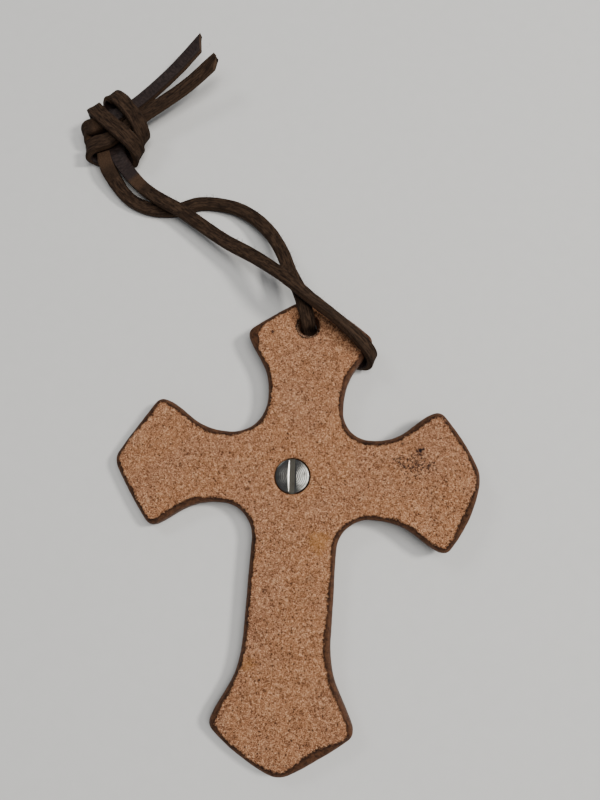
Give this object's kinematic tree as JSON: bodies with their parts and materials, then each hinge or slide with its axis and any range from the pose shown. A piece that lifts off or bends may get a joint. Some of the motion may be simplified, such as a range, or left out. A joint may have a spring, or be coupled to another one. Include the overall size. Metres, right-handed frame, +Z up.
{
  "type": "leather cross",
  "caption": "Flat hide cross with flared pointed arms and burnished edges, a slotted two-part screw through its middle and a knotted leather lace for hanging.",
  "frame": {"origin": "on the surface that the cross lies on, under the middle of the cross without its lace", "axes": "+Y towards the top arm with the lace hole, +Z up out of the suede back, +X towards the right arm as seen from the back"},
  "size_m": [0.1275, 0.2148, 0.0137],
  "materials": {
    "leather": "raw flesh side with dyed, burnished edges",
    "steel": "turned and plated",
    "lace": "dark dyed lace, smooth on one side and fibrous on the other"
  },
  "bodies": {
    "root": {"leather_cross": "leather", "screw": "steel", "screw_post": "steel", "lace": "lace"}
  },
  "joints": []
}
